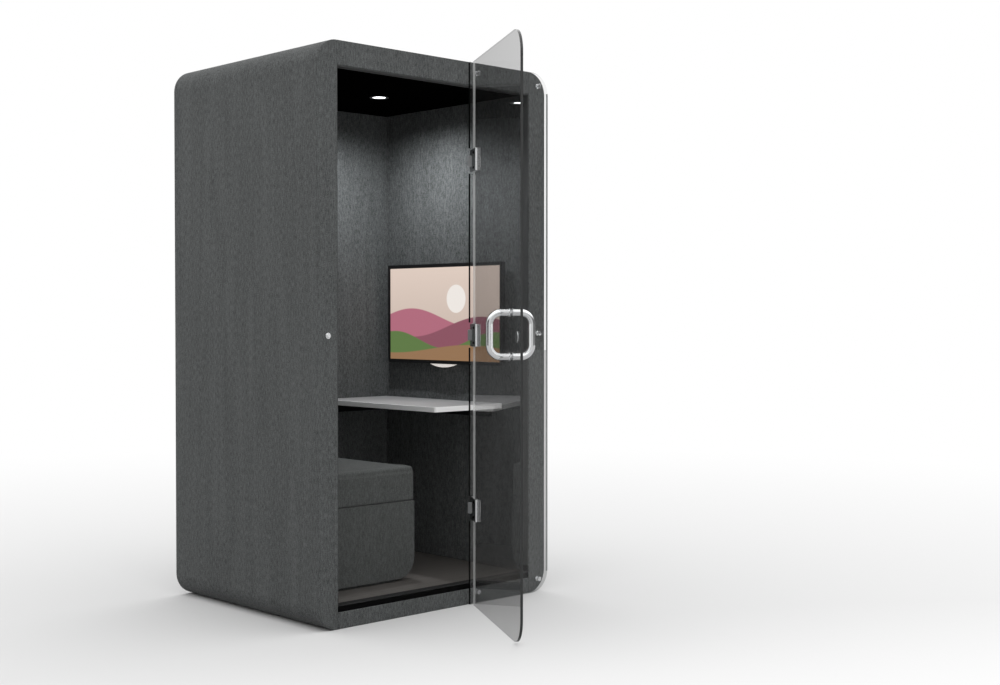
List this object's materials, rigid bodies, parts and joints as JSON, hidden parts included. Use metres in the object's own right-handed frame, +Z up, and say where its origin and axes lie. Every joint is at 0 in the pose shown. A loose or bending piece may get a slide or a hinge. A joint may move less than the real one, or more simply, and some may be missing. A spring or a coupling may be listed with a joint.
{
  "type": "acoustic office pod",
  "caption": "Free-standing acoustic office pod: rounded fabric cabin with a hinged glass door, fixed glass pane, bench seat, wall table, wall screen, ceiling fan and downlight.",
  "frame": {"origin": "on the ground, under the middle of the cabin's footprint", "axes": "+Z up, +Y from the glass front to the back wall, +X to the right seen from the front"},
  "size_m": [1.2, 1.689, 2.2143],
  "materials": {
    "wall_fabric": "heathered dark grey felt fabric",
    "seat_fabric": "heathered dark grey upholstery fabric",
    "acoustic_core": "pressed acoustic fibre",
    "ceiling_black": "black acoustic felt",
    "base_board": "plywood",
    "floor_laminate": "dark brown laminate",
    "sill_black": "black powder coat",
    "seal_rubber": "black rubber",
    "table_laminate": "white laminated board",
    "glass": "clear toughened glass",
    "chrome": "polished",
    "steel": "zinc plated",
    "screen_black": "gloss black",
    "screen_picture": null,
    "moulded_black": "moulded black plastic",
    "lamp_white": "white powder coat",
    "lamp_lens": "lit frosted diffuser",
    "driver_case": "moulded white plastic"
  },
  "bodies": {
    "cabin": {"left_outer_shell": "wall_fabric", "left_acoustic_core": "acoustic_core", "left_inner_lining": "wall_fabric", "right_outer_shell": "wall_fabric", "right_acoustic_core": "acoustic_core", "right_inner_lining": "wall_fabric", "back_outer_shell": "wall_fabric", "back_acoustic_core": "acoustic_core", "back_inner_lining": "wall_fabric", "roof_tray": "wall_fabric", "front_top_fascia": "wall_fabric", "front_bottom_fascia": "wall_fabric", "ceiling_board": "ceiling_black", "base_frame": "base_board", "floor_board": "floor_laminate", "threshold_sill": "sill_black", "doorway_seal": "seal_rubber", "levelling_foot_1": "steel", "levelling_foot_2": "steel", "levelling_foot_3": "steel", "levelling_foot_4": "steel", "bench_base": "seat_fabric", "seat_cushion": "seat_fabric", "table_top": "table_laminate", "table_side_cleat": "steel", "table_back_cleat": "steel", "screen_bezel": "screen_black", "screen_panel": "screen_picture", "screen_housing": "screen_black", "screen_wall_bracket": "steel", "screen_chin": "chrome", "fixed_glass": "glass", "stand_off_1": "chrome", "stand_off_2": "chrome", "stand_off_3": "chrome", "stand_off_4": "chrome", "stand_off_5": "chrome", "hinge_1_fixed_clamp": "chrome", "hinge_2_fixed_clamp": "chrome", "hinge_3_fixed_clamp": "chrome", "hinge_1_pin": "steel", "hinge_2_pin": "steel", "hinge_3_pin": "steel", "catch_stud": "chrome", "ceiling_grille": "moulded_black", "roof_grille": "moulded_black", "fan_frame": "moulded_black", "downlight_trim": "lamp_white", "downlight_lens": "lamp_lens", "downlight_can": "steel", "driver_box": "driver_case", "mains_inlet": "moulded_black"},
    "door": {"door_glass": "glass", "hinge_1_door_clamp": "chrome", "hinge_2_door_clamp": "chrome", "hinge_3_door_clamp": "chrome", "outer_pull_handle": "chrome", "inner_pull_handle": "chrome", "door_keeper_disc": "chrome"},
    "fan": {"fan_rotor": "moulded_black"}
  },
  "joints": [
    {"name": "door_hinge", "type": "hinge", "parent": "cabin", "child": "door", "pos_m": [0.17, -0.515, 1.105], "axis": [0, 0, 1], "range_deg": [-60.2, 29.8]},
    {"name": "fan_spin", "type": "hinge", "parent": "cabin", "child": "fan", "pos_m": [-0.23, 0.15, 2.14], "axis": [0, 0, 1], "continuous": true}
  ]
}
